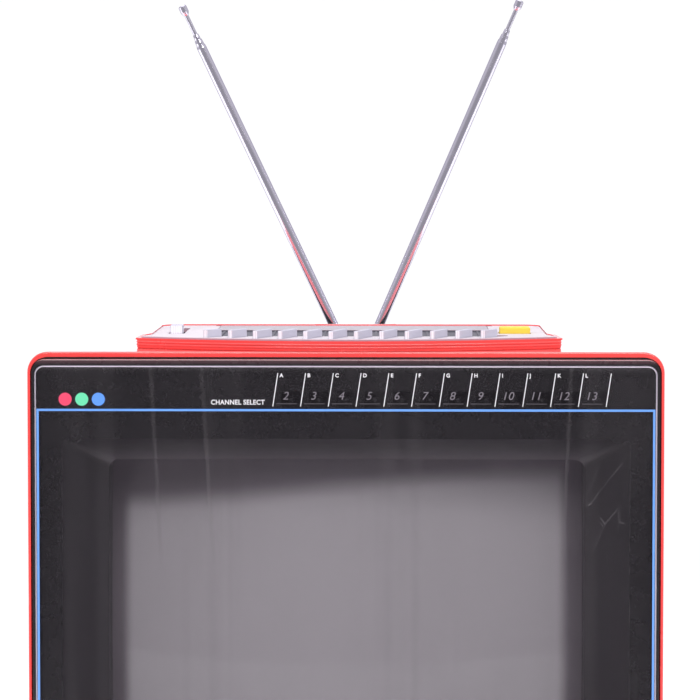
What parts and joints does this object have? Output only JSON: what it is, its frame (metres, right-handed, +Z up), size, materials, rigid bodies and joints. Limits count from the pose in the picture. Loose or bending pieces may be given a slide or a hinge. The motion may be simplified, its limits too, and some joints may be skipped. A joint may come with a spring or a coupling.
{
  "type": "tube television",
  "caption": "Portable colour tube television in a gloss red cabinet, with top-mounted channel keys, slide volume, tuning flap and a folding V aerial.",
  "frame": {"origin": "on the table, under the middle of the cabinet's footprint", "axes": "+Z up, -Y towards the viewer (screen side), +X to the viewer's right"},
  "size_m": [0.364, 0.384, 0.5461],
  "materials": {
    "red_shell": "high gloss red moulding",
    "black_plastic": "fine grained black moulding",
    "charcoal_cover": "spark-textured charcoal moulding",
    "smoked_panel": "polished smoked acrylic",
    "tube_glass": "polished tinted glass",
    "graphite": "graphite coated glass",
    "steel": "zinc plated",
    "chrome": "bright chrome plate",
    "copper": "enamelled copper winding",
    "ferrite": "sintered ferrite",
    "pcb": "phenolic board",
    "light_plate": "satin pale grey moulding",
    "dark_tray": "dark grey moulding",
    "key_grey": "satin lilac grey moulding",
    "yellow": "satin yellow moulding",
    "rubber": "matt black rubber",
    "aluminium": "extruded",
    "paper": "black paper cone"
  },
  "bodies": {
    "cabinet": {"cabinet_shell": "red_shell", "rear_cover": "charcoal_cover", "front_bezel": "black_plastic", "front_panel": "smoked_panel", "screen_mask": "black_plastic", "channel_indicator": "pcb", "crt_faceplate": "tube_glass", "crt_funnel": "graphite", "crt_band": "steel", "shadow_mask": "steel", "electron_gun": "steel", "yoke_coils": "copper", "yoke_core": "ferrite", "purity_rings": "ferrite", "neck_board": "pcb", "degauss_coil": "rubber", "main_board": "pcb", "flyback_transformer": "ferrite", "power_components": "aluminium", "tuner_box": "steel", "speaker_basket": "steel", "speaker_cone": "paper", "deck_bezel": "red_shell", "deck_plate": "light_plate", "key_trough": "dark_tray", "tuning_trimmers": "pcb", "key_switch_board": "pcb", "volume_pot": "steel", "power_switch": "black_plastic", "aerial_base": "black_plastic", "aerial_socket": "steel", "earphone_jack": "black_plastic", "cord_gland": "rubber", "feet": "rubber", "screws": "steel"},
    "key_01": {"channel_key_01": "key_grey"},
    "key_02": {"channel_key_02": "key_grey"},
    "key_03": {"channel_key_03": "key_grey"},
    "key_04": {"channel_key_04": "key_grey"},
    "key_05": {"channel_key_05": "key_grey"},
    "key_06": {"channel_key_06": "key_grey"},
    "key_07": {"channel_key_07": "key_grey"},
    "key_08": {"channel_key_08": "key_grey"},
    "key_09": {"channel_key_09": "key_grey"},
    "key_10": {"channel_key_10": "key_grey"},
    "key_11": {"channel_key_11": "key_grey"},
    "key_12": {"channel_key_12": "key_grey"},
    "power": {"power_button": "yellow"},
    "volume": {"volume_knob": "key_grey"},
    "door": {"tuning_door": "key_grey"},
    "swivel_left": {"aerial_fork_left": "black_plastic"},
    "rod_left_outer": {"aerial_outer_left": "chrome"},
    "rod_left_mid": {"aerial_mid_left": "chrome"},
    "rod_left_inner": {"aerial_inner_left": "chrome"},
    "rod_left_tip": {"aerial_tip_left": "chrome"},
    "swivel_right": {"aerial_fork_right": "black_plastic"},
    "rod_right_outer": {"aerial_outer_right": "chrome"},
    "rod_right_mid": {"aerial_mid_right": "chrome"},
    "rod_right_inner": {"aerial_inner_right": "chrome"},
    "rod_right_tip": {"aerial_tip_right": "chrome"}
  },
  "joints": [
    {"name": "key_press_01", "type": "slide", "parent": "cabinet", "child": "key_01", "axis": [0, 0, -1], "range_m": [0, 0.0022], "stiffness_N_per_m": 450, "springref_m": -0.001},
    {"name": "key_press_02", "type": "slide", "parent": "cabinet", "child": "key_02", "axis": [0, 0, -1], "range_m": [0, 0.0022], "stiffness_N_per_m": 450, "springref_m": -0.001},
    {"name": "key_press_03", "type": "slide", "parent": "cabinet", "child": "key_03", "axis": [0, 0, -1], "range_m": [0, 0.0022], "stiffness_N_per_m": 450, "springref_m": -0.001},
    {"name": "key_press_04", "type": "slide", "parent": "cabinet", "child": "key_04", "axis": [0, 0, -1], "range_m": [0, 0.0022], "stiffness_N_per_m": 450, "springref_m": -0.001},
    {"name": "key_press_05", "type": "slide", "parent": "cabinet", "child": "key_05", "axis": [0, 0, -1], "range_m": [0, 0.0022], "stiffness_N_per_m": 450, "springref_m": -0.001},
    {"name": "key_press_06", "type": "slide", "parent": "cabinet", "child": "key_06", "axis": [0, 0, -1], "range_m": [0, 0.0022], "stiffness_N_per_m": 450, "springref_m": -0.001},
    {"name": "key_press_07", "type": "slide", "parent": "cabinet", "child": "key_07", "axis": [0, 0, -1], "range_m": [0, 0.0022], "stiffness_N_per_m": 450, "springref_m": -0.001},
    {"name": "key_press_08", "type": "slide", "parent": "cabinet", "child": "key_08", "axis": [0, 0, -1], "range_m": [0, 0.0022], "stiffness_N_per_m": 450, "springref_m": -0.001},
    {"name": "key_press_09", "type": "slide", "parent": "cabinet", "child": "key_09", "axis": [0, 0, -1], "range_m": [0, 0.0022], "stiffness_N_per_m": 450, "springref_m": -0.001},
    {"name": "key_press_10", "type": "slide", "parent": "cabinet", "child": "key_10", "axis": [0, 0, -1], "range_m": [0, 0.0022], "stiffness_N_per_m": 450, "springref_m": -0.001},
    {"name": "key_press_11", "type": "slide", "parent": "cabinet", "child": "key_11", "axis": [0, 0, -1], "range_m": [0, 0.0022], "stiffness_N_per_m": 450, "springref_m": -0.001},
    {"name": "key_press_12", "type": "slide", "parent": "cabinet", "child": "key_12", "axis": [0, 0, -1], "range_m": [0, 0.0022], "stiffness_N_per_m": 450, "springref_m": -0.001},
    {"name": "power_press", "type": "slide", "parent": "cabinet", "child": "power", "axis": [0, 0, -1], "range_m": [0, 0.003], "stiffness_N_per_m": 700, "springref_m": -0.001},
    {"name": "volume_slide", "type": "slide", "parent": "cabinet", "child": "volume", "axis": [0, 1, 0], "range_m": [0, 0.036]},
    {"name": "door_hinge", "type": "hinge", "parent": "cabinet", "child": "door", "pos_m": [0.003, -0.0685, 0.3358], "axis": [-1, 0, 0], "range_deg": [0, 100]},
    {"name": "swivel_left", "type": "hinge", "parent": "cabinet", "child": "swivel_left", "pos_m": [-0.01, 0.076, 0.323], "axis": [0, 0, -1], "range_deg": [0, 90]},
    {"name": "tilt_left", "type": "hinge", "parent": "swivel_left", "child": "rod_left_outer", "pos_m": [-0.01, 0.076, 0.323], "axis": [0, -1, 0], "range_deg": [-25.4, 64]},
    {"name": "slide_left_mid", "type": "slide", "parent": "rod_left_outer", "child": "rod_left_mid", "axis": [-0.4289, 0, 0.9033], "range_m": [0, 0.185]},
    {"name": "slide_left_inner", "type": "slide", "parent": "rod_left_mid", "child": "rod_left_inner", "axis": [-0.4289, 0, 0.9033], "range_m": [0, 0.185]},
    {"name": "slide_left_tip", "type": "slide", "parent": "rod_left_inner", "child": "rod_left_tip", "axis": [-0.4289, 0, 0.9033], "range_m": [0, 0.185]},
    {"name": "swivel_right", "type": "hinge", "parent": "cabinet", "child": "swivel_right", "pos_m": [0.016, 0.076, 0.323], "axis": [0, 0, 1], "range_deg": [0, 90]},
    {"name": "tilt_right", "type": "hinge", "parent": "swivel_right", "child": "rod_right_outer", "pos_m": [0.016, 0.076, 0.323], "axis": [0, 1, 0], "range_deg": [-23.4, 66]},
    {"name": "slide_right_mid", "type": "slide", "parent": "rod_right_outer", "child": "rod_right_mid", "axis": [0.3971, 0, 0.9178], "range_m": [0, 0.185]},
    {"name": "slide_right_inner", "type": "slide", "parent": "rod_right_mid", "child": "rod_right_inner", "axis": [0.3971, 0, 0.9178], "range_m": [0, 0.185]},
    {"name": "slide_right_tip", "type": "slide", "parent": "rod_right_inner", "child": "rod_right_tip", "axis": [0.3971, 0, 0.9178], "range_m": [0, 0.185]}
  ]
}
